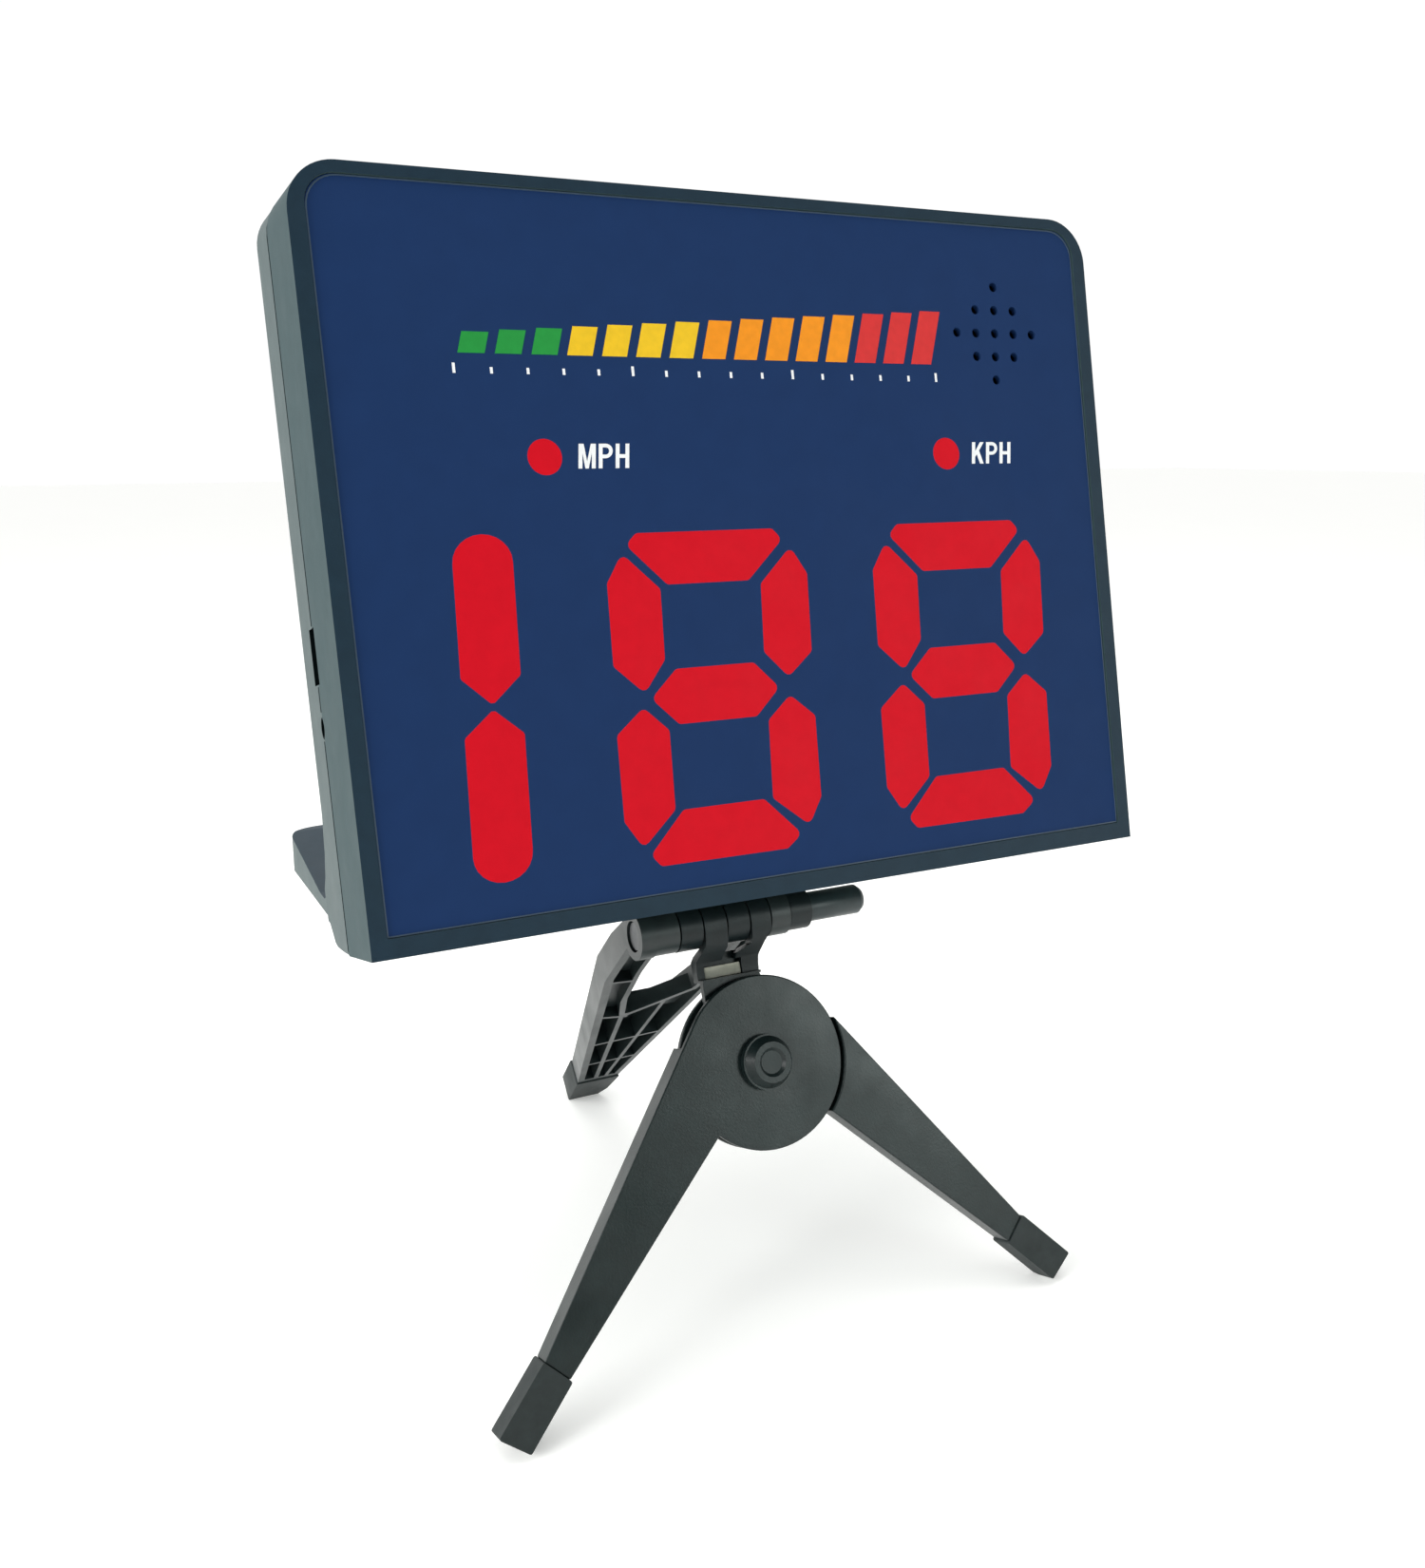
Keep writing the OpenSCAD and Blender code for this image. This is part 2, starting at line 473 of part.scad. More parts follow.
// ---- yoke and hinge ----
lay0 = 0.3;                          // back of the right leg's head
tongue0 = disc_t + 0.6;
tongue1 = 2*disc_t + 0.6;
module yoke() {
  color(col_trip) in_front() difference() {
    union() {
      knuckles(own_yoke, barrel_r);
      // two arms that draw in and back to the neck
      intersection() {
        slab(-8, 4) {
          polygon(flip([[1.4+knuck_gap, 0], [6.9-knuck_gap, 0], [6.9-knuck_gap, 3.4], [5, 6.2], [3.7, 9], [3.3, 13.05], [-0.9, 13.05], [-0.9, 8.8], [-2.2, 8.8], [-2.2, 7.6], [1.4+knuck_gap, 6]]));
          polygon(flip([[-10.5+knuck_gap, 0], [-4.5-knuck_gap, 0], [-4.5-knuck_gap, 5.8], [-6, 8.8], [-10.5, 8.8], [-10.5, 13.05], [-12.4, 13.05], [-12.4, 8.2], [-10.5+knuck_gap, 5]]));
        }
        rotate([90, 0, 90]) translate([0, 0, -20]) linear_extrude(40) polygon([[-5.2, 0], [-5.2, -1.6], [-4.5, -4.3], [-2.9, -6.7], [-1.6, -8.6], [-1.1, -10.4], [-1.1, -20], [1.5, -20], [1.5, -7], [-0.4, -5.3], [-0.4, 0]]);
      }
      box(-10.6, -0.8, 0.6, 1.5, -13.05, -7);
      box(-12.4, 3.3, -2.2, 1.5, -13.05, -12.5);
      box(-12.4, 1.9, -tongue1, -2.1, -13.05, -12.5);
      // tongue between the legs' heads
      slab(-tongue1, -tongue0) {
        translate([tri_x, -hub_drop]) circle(r = 15.6);
        polygon(flip([[-12.4, 12.5], [1.9, 12.5], [2.4, 14], [9, 22], [-12.6, 22], [-12.6, 14]]));
      }
    }
    // room for the platform's middle knuckle
    rod_x(-4.5-knuck_gap, 1.4+knuck_gap, 0, 0, barrel_r+0.5);
    rod_x(-30, 30, 0, 0, bolt_r+0.02);
    translate([tri_x, 0, -hub_drop]) rod_y(0, 0, 3.02, -8, 2);
  }
}
module tension_block() { color("#a8a79b") in_front() box(-10.35, -1.05, -0.7, 0.5, -12.4, -9.8); }
module hinge_bolt() { color("#8d9396") on_barrel() union() { rod_x(-23.2, 29.4, 0, 0, bolt_r); rod_x(-25.5, -23.1, 0, 0, 3.2); } }
module clamp_knob() {
  color(col_trip) on_barrel() difference() {
    union() {
      rod_x(18.3+knuck_gap, 32.6, 0, 0, 3.55);
      translate([32.6, 0, 0]) rotate([0, 90, 0]) cylinder(r1 = 3.55, r2 = 2.7, h = 1.2);
    }
    rod_x(18, 30.2, 0, 0, bolt_r+0.07);
  }
}
module pivot_rivet() {
  color(col_trip) in_hub() difference() {
    union() {
      rod_y(0, 0, 3, -leg_t-0.4, 0.3);
      rod_y(0, 0, 6.3, -leg_t-1.6, -leg_t-0.1);
      translate([0, -leg_t-1.6+e, 0]) rotate([90, 0, 0]) cylinder(r1 = 5.9, r2 = 4.6, h = 2.2);
      rod_y(0, 0, 4, 0.3, 1.1);
    }
    translate([0, -leg_t-3.1, 0]) rotate([90, 0, 0]) cylinder(r1 = 2.6, r2 = 3.6, h = 1);
  }
}

// ---- front legs: u runs along the inner edge, v to the outside ----
tap = 9.5;
function leg_edge(u) = disc_r/cos(tap) - u*tan(tap);
cap_u = leg_len - 15.5;
module leg_shape(outer = true) {
  polygon(flip([[0, 0], [0, cap_u], [-leg_edge(cap_u), cap_u], [-disc_r*cos(tap), disc_r*sin(tap)]]));
}
module leg_body() {
  difference() {
    slab(-leg_t, 0) leg_shape();
    // channel open at the back
    slab(-leg_t+1.7, 1) difference() {
      polygon(flip([[-1.6, 25], [-1.6, cap_u-2], [-leg_edge(cap_u-2)+1.6, cap_u-2], [-leg_edge(25)+1.6, 25]]));
      for (u = [38, 51, 64]) translate([-30, -u-0.6]) square([40, 1.2]);
    }
  }
  // tang inside the foot
  slab(-leg_t+1.4, -1.4) polygon(flip([[-1.5, cap_u-1], [-1.5, cap_u+9], [-5, cap_u+9], [-5.5, cap_u-1]]));
}
module left_leg() {
  color(col_trip) in_hub() rotate([0, spread, 0]) difference() {
    union() {
      difference() { leg_body(); rod_y(0, 0, disc_r+0.9, -leg_t+disc_t, 2); }
      rod_y(0, 0, disc_r, -leg_t, -leg_t+disc_t);
      // web that joins the head to the leg
      intersection() { slab(-leg_t, -leg_t+disc_t) leg_shape(); rod_y(0, 0, disc_r+4, -leg_t-1, 1); }
    }
    rod_y(0, 0, 3.07, -9, 3);
  }
}
module right_leg() {
  color(col_trip) in_hub() mirror([1, 0, 0]) rotate([0, spread, 0]) difference() {
    union() {
      difference() { leg_body(); rod_y(0, 0, disc_r+0.9, -leg_t-1, -disc_t); }
      rod_y(0, 0, disc_r, -disc_t, 0);
      intersection() { slab(-disc_t, 0) leg_shape(); rod_y(0, 0, disc_r+4, -leg_t-1, 1); }
    }
    rod_y(0, 0, 3.07, -9, 3);
  }
}
module boot() {
  difference() {
    slab(-leg_t-0.4, 0.4) polygon(soft(flip([[0.5, cap_u], [1.1, leg_len+0.1], [-6.6, leg_len+1.1], [-leg_edge(cap_u)-0.4, cap_u]]), 0.5, 3));
    slab(-leg_t+1.4, -1.4) polygon(flip([[-1.5, cap_u-2], [-1.5, cap_u+9], [-5, cap_u+9], [-5.5, cap_u-2]]));
  }
}
module left_foot() { color(col_rub) difference() { in_hub() rotate([0, spread, 0]) boot(); floor_cut(); } }
module right_foot() { color(col_rub) difference() { in_hub() mirror([1, 0, 0]) rotate([0, spread, 0]) boot(); floor_cut(); } }

// ---- rear leg: s runs down the leg from the barrel ----
rear_cap = 119;
rear_out = [[-25.6, 0], [-25.2, 28], [-9.2, rear_cap], [4, rear_cap], [8.6, 60], [12.1, 12], [12.1, 0]];
rear_in = [[-23.2, 5], [-22.9, 27.6], [-7.6, rear_cap-2.4], [2.2, rear_cap-2.4], [6.9, 59], [10.3, 9], [8.6, 8]];
win = [[-16.3, -2], [-16.1, 26], [-14.4, 44.6], [-11.6, 57], [-10.4, 57.2], [4.6, 46.4], [5.6, 42], [6.3, 28], [5.9, -2]];
module rear_pockets() {
  difference() {
    polygon(flip(rear_in));
    polygon(flip([[-17.7, 0], [-17.5, 26], [-15.8, 46.6], [-12.6, 59.4], [-10.2, 59.2], [6.2, 47.6], [7.4, 42], [8, 28], [7.4, 0]]));
    polygon(flip(bar([-24, 30], [-16, 31.5], 1.1)));
    polygon(flip(bar([-12.4, 56], [-3.4, 120], 1.4)));
    polygon(flip(bar([-1.6, 52], [-0.6, 120], 1.2)));
    polygon(flip(bar([-22, 56], [-10, 60], 1.1)));
    polygon(flip(bar([-20, 82], [8, 80], 1.1)));
    polygon(flip(bar([-18, 101], [6, 100], 1.1)));
  }
}
module rear_leg() {
  color(col_trip) in_rear() difference() {
    union() {
      difference() {
        slab(0, rear_t) polygon(flip(rear_out));
        // sunk pockets between the ribs, open at the front
        slab(-1, 2.9) rear_pockets();
        slab(2, rear_t-1.5) intersection() { rear_pockets(); polygon(flip([[-40, 65], [40, 65], [40, 200], [-40, 200]])); }
        // sunk back round the window
        slab(4.4, rear_t+1) polygon(flip([[-18.4, 9], [-17.6, 46], [-14.4, 61], [3.4, 61], [7.2, 46], [8.3, 14], [7.2, 9]]));
        slab(-1, rear_t+1) polygon(flip(win));
        // clear of the other knuckles
        rod_x(-16.3-knuck_gap, 6.9+knuck_gap, 0, 0, barrel_r+0.6);
        // outer face falls away towards the barrel
        rotate([90, 0, 90]) translate([0, 0, -40]) linear_extrude(80) polygon([[barrel_r, 3], [barrel_r, 0], [rear_t, -14], [rear_t+4, -14], [rear_t+4, 3]]);
      }
      rod_x(-22.3, -16.3-knuck_gap, 0, 0, barrel_r-0.1);
      rod_x(-26, -22.2, 0, 0, barrel_r+0.2);
      rod_x(6.9+knuck_gap, 12.3-knuck_gap, 0, 0, barrel_r);
      slab(1.6, rear_t-1.6) polygon(flip([[-7, rear_cap-1], [-5.6, rear_cap+9], [1.4, rear_cap+9], [2, rear_cap-1]]));
    }
    rod_x(-40, 30, 0, 0, bolt_r+0.07);
    rod_x(-27, -22.7, 0, 0, 3.6);
  }
}
module rear_foot() {
  color(col_rub) difference() {
    in_rear() difference() {
      slab(-0.4, rear_t+0.4) polygon(soft(flip([[-9.6, rear_cap], [-8, rear_len-2], [-6.6, rear_len+0.6], [0.8, rear_len], [3.6, rear_len-7], [4.3, rear_cap]]), 0.4, 3));
      slab(1.6, rear_t-1.6) polygon(flip([[-7.1, rear_cap-2], [-5.6, rear_cap+9], [1.4, rear_cap+9], [2.1, rear_cap-2]]));
    }
    floor_cut();
  }
}

front_bezel();
rear_shell();
display_panel();
hundreds_lens();
tens_lens();
units_lens();
mph_lens();
kph_lens();
digit_reflector();
led_board();
segment_leds();
radar_board();
antenna_patches();
radar_shield();
main_board();
board_chips();
board_header();
usb_socket();
charge_light_pipe();
tact_switches();
speaker_frame();
speaker_cone();
speaker_magnet();
battery_cells();
battery_cradle();
battery_tabs();
tripod_insert();
case_screws();
board_screws();
base_pads();
power_button();
mode_button();
unit_button();
mount_platform();
platform_pad();
mount_screw();
yoke();
hinge_bolt();
clamp_knob();
tension_block();
pivot_rivet();
left_leg();
right_leg();
rear_leg();
left_foot();
right_foot();
rear_foot();
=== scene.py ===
import json
import math

import bpy
from mathutils import Matrix, Vector


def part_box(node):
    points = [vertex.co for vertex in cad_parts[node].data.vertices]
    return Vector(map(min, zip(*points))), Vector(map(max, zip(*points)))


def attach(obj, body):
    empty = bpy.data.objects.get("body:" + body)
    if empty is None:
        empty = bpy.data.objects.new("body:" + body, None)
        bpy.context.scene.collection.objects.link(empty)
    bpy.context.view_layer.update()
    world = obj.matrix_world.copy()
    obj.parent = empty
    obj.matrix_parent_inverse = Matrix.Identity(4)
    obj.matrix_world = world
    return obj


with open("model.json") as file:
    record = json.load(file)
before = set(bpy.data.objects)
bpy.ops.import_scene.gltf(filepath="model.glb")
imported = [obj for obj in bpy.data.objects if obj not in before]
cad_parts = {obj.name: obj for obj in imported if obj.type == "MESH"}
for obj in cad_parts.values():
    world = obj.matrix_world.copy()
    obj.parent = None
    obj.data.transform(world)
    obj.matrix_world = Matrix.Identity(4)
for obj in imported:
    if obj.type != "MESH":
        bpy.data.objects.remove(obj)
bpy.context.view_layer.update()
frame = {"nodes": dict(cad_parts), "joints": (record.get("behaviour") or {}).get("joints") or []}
nodes = frame["nodes"]
scene = bpy.context.scene
MM = 0.001

# ---------------------------------------------------------------- the display's own frame
press = [j for j in frame["joints"] if j["name"] == "power_button_press"][0]["axis"]
TILT = math.atan2(press[2], -press[1])
X = Vector((1, 0, 0))
YD = Vector((0, math.cos(TILT), -math.sin(TILT)))
ZD = Vector((0, math.sin(TILT), math.cos(TILT)))
PANEL_Y0, PANEL_Y1, PANEL_Z0, PANEL_Z1 = 0.5, 2.0, 3.9, 142.15
lo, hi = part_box("display_panel")
O = Vector((0,
            lo.y - (PANEL_Y0 * YD.y + PANEL_Z0 * ZD.y) * MM,
            lo.z - (PANEL_Y1 * YD.z + PANEL_Z0 * ZD.z) * MM))


def D(x, y, z):
    """A point of the display's frame in millimetres, in the row frame in metres."""
    return O + (X * x + YD * y + ZD * z) * MM


# ---------------------------------------------------------------- materials
def clamp(v):
    return max(0.0, min(1.0, v))


def material(name, col, var=0.07, scale=500.0, rough=(0.42, 0.56), bump=0.0, bump_scale=1800.0, spec=0.35,
             metallic=0.0, coat=0.0, tint=None, detail=3.0, subsurface=0.0, transmission=0.0, stretch=None):
    m = bpy.data.materials.new(name)
    m.use_nodes = True
    nt = m.node_tree
    nt.nodes.clear()
    out = nt.nodes.new("ShaderNodeOutputMaterial")
    p = nt.nodes.new("ShaderNodeBsdfPrincipled")
    nt.links.new(p.outputs["BSDF"], out.inputs["Surface"])
    tc = nt.nodes.new("ShaderNodeTexCoord")
    src = tc.outputs["Object"]
    if stretch is not None:
        mp = nt.nodes.new("ShaderNodeMapping")
        mp.inputs["Scale"].default_value = stretch
        nt.links.new(src, mp.inputs["Vector"])
        src = mp.outputs["Vector"]
    n1 = nt.nodes.new("ShaderNodeTexNoise")
    n1.inputs["Scale"].default_value = scale
    n1.inputs["Detail"].default_value = detail
    nt.links.new(src, n1.inputs["Vector"])
    ramp = nt.nodes.new("ShaderNodeValToRGB")
    b = tint if tint is not None else tuple(c * (1 + var) for c in col)
    a = tuple(c * (1 - var) for c in col)
    ramp.color_ramp.elements[0].position = 0.3
    ramp.color_ramp.elements[1].position = 0.7
    ramp.color_ramp.elements[0].color = (*[clamp(c) for c in a], 1)
    ramp.color_ramp.elements[1].color = (*[clamp(c) for c in b], 1)
    nt.links.new(n1.outputs["Fac"], ramp.inputs["Fac"])
    nt.links.new(ramp.outputs["Color"], p.inputs["Base Color"])
    n2 = nt.nodes.new("ShaderNodeTexNoise")
    n2.inputs["Scale"].default_value = scale * 0.31
    n2.inputs["Detail"].default_value = 4.0
    nt.links.new(src, n2.inputs["Vector"])
    mr = nt.nodes.new("ShaderNodeMapRange")
    mr.inputs["From Min"].default_value = 0.3
    mr.inputs["From Max"].default_value = 0.7
    mr.inputs["To Min"].default_value = rough[0]
    mr.inputs["To Max"].default_value = rough[1]
    nt.links.new(n2.outputs["Fac"], mr.inputs["Value"])
    nt.links.new(mr.outputs["Result"], p.inputs["Roughness"])
    if bump > 0:
        n3 = nt.nodes.new("ShaderNodeTexNoise")
        n3.inputs["Scale"].default_value = bump_scale
        n3.inputs["Detail"].default_value = 2.0
        nt.links.new(src, n3.inputs["Vector"])
        bp = nt.nodes.new("ShaderNodeBump")
        bp.inputs["Strength"].default_value = bump
        bp.inputs["Distance"].default_value = 0.00012
        nt.links.new(n3.outputs["Fac"], bp.inputs["Height"])
        nt.links.new(bp.outputs["Normal"], p.inputs["Normal"])
    p.inputs["Specular IOR Level"].default_value = spec
    p.inputs["Metallic"].default_value = metallic
    p.inputs["Coat Weight"].default_value = coat
    p.inputs["Transmission Weight"].default_value = transmission
    return m


MAT = {
    "bezel_plastic": material("bezel_plastic", (0.0090, 0.0260, 0.0430), var=0.07, scale=320, rough=(0.46, 0.54), bump=0.2, bump_scale=2300, spec=0.20),
    # painted sheen: a lighter copy of the housing plastic for the rear half, for the light its sides catch
    "shell_plastic": material("shell_plastic", (0.056, 0.084, 0.086), var=0.045, scale=320, rough=(0.50, 0.57), bump=0.2, bump_scale=2300, spec=0.26),
    # painted sheen: a lighter copy of the housing plastic for the bezel's sides
    "painted_sheen_side_plastic": material("painted_sheen_side_plastic", (0.034, 0.062, 0.067), var=0.045, scale=320, rough=(0.57, 0.63), bump=0.18, bump_scale=2300, spec=0.13),
    # painted shade: a darker copy of the housing plastic for the foot's top behind the display
    "painted_shade_foot_plastic": material("painted_shade_foot_plastic", (0.0150, 0.0330, 0.0480), var=0.05, scale=320, rough=(0.54, 0.60), bump=0.18, bump_scale=2300, spec=0.28),
    "panel_navy": material("panel_navy", (0.0105, 0.0325, 0.106), var=0.03, scale=180, rough=(0.50, 0.60), spec=0.07),
    "lens_red": material("lens_red", (0.60, 0.0040, 0.0140), var=0.03, scale=300, rough=(0.42, 0.52), spec=0.07),
    "reflector_white": material("reflector_white", (0.80, 0.80, 0.78), var=0.04, rough=(0.5, 0.65)),
    "circuit_board": material("circuit_board", (0.02, 0.15, 0.06), var=0.3, scale=900, rough=(0.3, 0.45)),
    "led": material("led", (0.88, 0.80, 0.45), var=0.08, rough=(0.2, 0.3)),
    "copper_gold": material("copper_gold", (0.80, 0.58, 0.24), var=0.08, metallic=1.0, rough=(0.25, 0.4)),
    "steel": material("steel", (0.58, 0.59, 0.60), var=0.08, metallic=1.0, rough=(0.26, 0.42), scale=900),
    "steel_dark": material("steel_dark", (0.10, 0.105, 0.11), var=0.12, metallic=0.9, rough=(0.32, 0.48), scale=900),
    "chip_black": material("chip_black", (0.015, 0.016, 0.018), var=0.15, rough=(0.45, 0.6)),
    "clear_plastic": material("clear_plastic", (0.62, 0.66, 0.66), var=0.05, rough=(0.2, 0.3)),
    "cone_paper": material("cone_paper", (0.004, 0.004, 0.005), var=0.2, rough=(0.8, 0.95), spec=0.1),
    "cell_wrap": material("cell_wrap", (0.05, 0.18, 0.46), var=0.08, rough=(0.25, 0.35)),
    "brass_insert": material("brass_insert", (0.76, 0.55, 0.24), var=0.08, metallic=1.0, rough=(0.28, 0.42)),
    "rubber": material("rubber", (0.017, 0.024, 0.024), var=0.14, scale=420, rough=(0.50, 0.66), bump=0.25, bump_scale=2600, spec=0.36),
    "button_red": material("button_red", (0.42, 0.02, 0.03), var=0.06, rough=(0.4, 0.5)),
    "button_dark": material("button_dark", (0.014, 0.02, 0.025), var=0.12, rough=(0.4, 0.55)),
    "tripod_plastic": material("tripod_plastic", (0.0078, 0.0150, 0.0150), var=0.18, scale=260, rough=(0.28, 0.40), bump=0.2, bump_scale=1900, spec=0.40),
    # painted shade: a darker copy of the tripod plastic for the yoke, the platform and the mount screw, which sit in
    # the display's shade
    "tripod_painted_shade": material("tripod_painted_shade", (0.0062, 0.0122, 0.0135), var=0.18, scale=300, rough=(0.32, 0.44), bump=0.2, bump_scale=1900, spec=0.32),
    "knob_plastic": material("knob_plastic", (0.0140, 0.0262, 0.0285), var=0.18, scale=300, rough=(0.30, 0.42), bump=0.2, bump_scale=1900, spec=0.42),
    "rib_plastic": material("rib_plastic", (0.0150, 0.0235, 0.0240), var=0.18, scale=300, rough=(0.32, 0.44), bump=0.2, bump_scale=1900, spec=0.48),
    "block_zinc": material("block_zinc", (0.60, 0.58, 0.48), var=0.10, scale=700, rough=(0.5, 0.65), bump=0.3, bump_scale=1500, spec=0.4),
    "legend_white": material("legend_white", (0.86, 0.87, 0.88), var=0.03, scale=700, rough=(0.5, 0.6), spec=0.2),
    "edge_line": material("edge_line", (0.045, 0.075, 0.115), var=0.08, scale=500, rough=(0.35, 0.5), spec=0.4),
    # painted shade: near-black for the groove and gap between the housing's halves and the insides of the port and the
    # lamp's hole
    "painted_shade_black": material("painted_shade_black", (0.004, 0.007, 0.008), var=0.2, scale=700, rough=(0.85, 0.95), spec=0.0),
    "bar_green": material("bar_green", (0.016, 0.27, 0.045), var=0.05, scale=600, rough=(0.45, 0.55), spec=0.2),
    "bar_yellow": material("bar_yellow", (0.80, 0.50, 0.014), var=0.05, scale=600, rough=(0.45, 0.55), spec=0.2),
    "bar_orange": material("bar_orange", (0.83, 0.27, 0.008), var=0.05, scale=600, rough=(0.45, 0.55), spec=0.2),
    "bar_red": material("bar_red", (0.62, 0.028, 0.028), var=0.05, scale=600, rough=(0.45, 0.55), spec=0.2),
}
LOOK = {
    "front_bezel": "bezel_plastic", "rear_shell": "shell_plastic", "display_panel": "panel_navy", "digit_reflector": "reflector_white",
    "hundreds_lens": "lens_red", "tens_lens": "lens_red", "units_lens": "lens_red", "mph_lens": "lens_red", "kph_lens": "lens_red",
    "led_board": "circuit_board", "segment_leds": "led", "radar_board": "circuit_board", "antenna_patches": "copper_gold",
    "radar_shield": "steel", "main_board": "circuit_board", "board_chips": "chip_black", "board_header": "chip_black",
    "usb_socket": "steel", "charge_light_pipe": "chip_black", "tact_switches": "chip_black", "speaker_frame": "steel_dark",
    "speaker_cone": "cone_paper", "speaker_magnet": "steel_dark", "battery_cells": "cell_wrap", "battery_cradle": "chip_black",
    "battery_tabs": "steel", "tripod_insert": "brass_insert", "case_screws": "steel_dark", "board_screws": "steel",
    "base_pads": "rubber", "power_button": "button_red", "mode_button": "button_dark", "unit_button": "button_dark",
    "mount_platform": "tripod_painted_shade", "platform_pad": "rubber", "mount_screw": "tripod_painted_shade", "yoke": "tripod_painted_shade",
    "hinge_bolt": "steel_dark", "clamp_knob": "knob_plastic", "tension_block": "block_zinc", "pivot_rivet": "tripod_plastic",
    "left_leg": "tripod_plastic", "right_leg": "tripod_plastic", "rear_leg": "rib_plastic",
    "left_foot": "rubber", "right_foot": "rubber", "rear_foot": "rubber",
}
BEVEL = {
    "front_bezel": 0.55, "rear_shell": 0.5, "left_leg": 0.35, "right_leg": 0.35, "rear_leg": 0.28, "left_foot": 0.5, "right_foot": 0.5,
    "rear_foot": 0.55, "yoke": 0.3, "mount_platform": 0.3, "tension_block": 0.25, "mount_screw": 0.12, "pivot_rivet": 0.25,
    "clamp_knob": 0.4, "power_button": 0.25, "mode_button": 0.25, "unit_button": 0.25, "usb_socket": 0.1, "case_screws": 0.15,
    "platform_pad": 0.15, "base_pads": 0.2, "charge_light_pipe": 0.15,
}
for name, o in nodes.items():
    me = o.data
    me.materials.clear()
    me.materials.append(MAT[LOOK[name]])
    if name in BEVEL:
        if "custom_normal" in me.attributes:
            me.attributes.remove(me.attributes["custom_normal"])
        me.shade_smooth()
        w = o.modifiers.new("weld", "WELD")
        w.merge_threshold = 2e-6
        b = o.modifiers.new("edges", "BEVEL")
        b.width = BEVEL[name] * MM
        b.segments = 2
        b.limit_method = "ANGLE"
        b.angle_limit = math.radians(38)
        b.harden_normals = True
        b.use_clamp_overlap = True
        b.miter_outer = "MITER_ARC"

# painted light: the bezel's side faces get a lighter copy of the housing plastic, a painted sheen for the light the
# sides catch; the front face of the bezel keeps the blue tint
bz = nodes["front_bezel"].data
bz.materials.append(MAT["painted_sheen_side_plastic"])
for f in bz.polygons:
    if f.normal.dot(-YD) < 0.6:
        f.material_index = 1
# painted shade: the faces in the groove between the housing's halves are coloured near-black, and the foot's top behind
# the display gets a darker copy of the plastic
seam = max((v.co - O).dot(YD) for v in bz.vertices) / MM
sh = nodes["rear_shell"].data
sh.materials.append(MAT["painted_shade_black"])
sh.materials.append(MAT["painted_shade_foot_plastic"])
half = max(v.co.x for v in sh.vertices)
for f in sh.polygons:
    pts = [sh.vertices[i].co for i in f.vertices]
    ys = [(q - O).dot(YD) / MM for q in pts]
    # painted shade: near-black on the groove's faces
    if max(ys) < seam + 0.95:
        f.material_index = 1
    # painted shade: the darker copy on the foot's upward faces behind the display
    elif min(ys) > 40.0 and f.normal.z > 0.5:
        f.material_index = 2

# painted shade: the faces inside the port and the lamp's hole are coloured near-black
bz.materials.append(MAT["painted_shade_black"])
for me_, idx in ((bz, 2), (sh, 1)):
    for f in me_.polygons:
        pts = [me_.vertices[i].co - O for i in f.vertices]
        if f.normal.x < -0.5 or min(q.x for q in pts) < -half - 0.001 or max(q.x for q in pts) > -half + 0.0031:
            continue
        ys = [q.dot(YD) / MM for q in pts]
        zs = [q.dot(ZD) / MM for q in pts]
        port = min(ys) > 22.3 and max(ys) < 29.3 and min(zs) > 51.9 and max(zs) < 64.1
        lamp = min(ys) > 22.7 and max(ys) < 27.7 and min(zs) > 41.0 and max(zs) < 47.0
        if port or lamp:
            f.material_index = idx


# ---------------------------------------------------------------- pieces added to the look
def make(name, verts, faces, mat, body, smooth=False):
    me = bpy.data.meshes.new(name)
    me.from_pydata([tuple(v) for v in verts], [], faces)
    me.update()
    if smooth:
        me.shade_smooth()
    o = bpy.data.objects.new(name, me)
    scene.collection.objects.link(o)
    me.materials.append(MAT[mat])
    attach(o, body)
    return o


def prism(polys, y0, y1, to=D):
    """Closed prisms over flat outlines (x, z), counter-clockwise seen from the front, from y0 (front) to y1."""
    vs, fs = [], []
    for pts in polys:
        n, k = len(pts), len(vs)
        vs += [to(x, y0, z) for x, z in pts] + [to(x, y1, z) for x, z in pts]
        fs.append(tuple(range(k, k + n)))
        fs.append(tuple(range(k + 2 * n - 1, k + n - 1, -1)))
        for i in range(n):
            j = (i + 1) % n
            fs.append((k + i, k + n + i, k + n + j, k + j))
    return vs, fs


def arch(x0, x1, z0, z1, r, rb, n=8):
    """A rounded rectangle with corner radius r at the top and rb at the bottom."""
    pts = []
    for cx, cz, a0, q in ((x1 - rb, z0 + rb, -90, rb), (x1 - r, z1 - r, 0, r), (x0 + r, z1 - r, 90, r), (x0 + rb, z0 + rb, 180, rb)):
        for i in range(n + 1):
            a = math.radians(a0 + 90 * i / n)
            pts.append((cx + q * math.cos(a), cz + q * math.sin(a)))
    return pts


def ring_prism(outer, inner, y0, y1, to=D):
    n = len(outer)
    vs = [to(x, y0, z) for x, z in outer] + [to(x, y0, z) for x, z in inner] + [to(x, y1, z) for x, z in outer] + [to(x, y1, z) for x, z in inner]
    fs = []
    for i in range(n):
        j = (i + 1) % n
        fs += [(i, j, n + j, n + i), (2 * n + i, 3 * n + i, 3 * n + j, 2 * n + j), (i, 2 * n + i, 2 * n + j, j), (n + i, n + j, 3 * n + j, 3 * n + i)]
    return vs, fs


FACE = PANEL_Y0 - 0.05     # printed marks stand 0.05 mm proud of the panel
BACK = PANEL_Y0 + 0.02


# unit legends in a plain narrow sans letter, 4.8 units high
def arc(cx, cz, r, a0, a1, n=10):
    return [(cx + r * math.cos(math.radians(a0 + (a1 - a0) * k / n)), cz + r * math.sin(math.radians(a0 + (a1 - a0) * k / n))) for k in range(n + 1)]


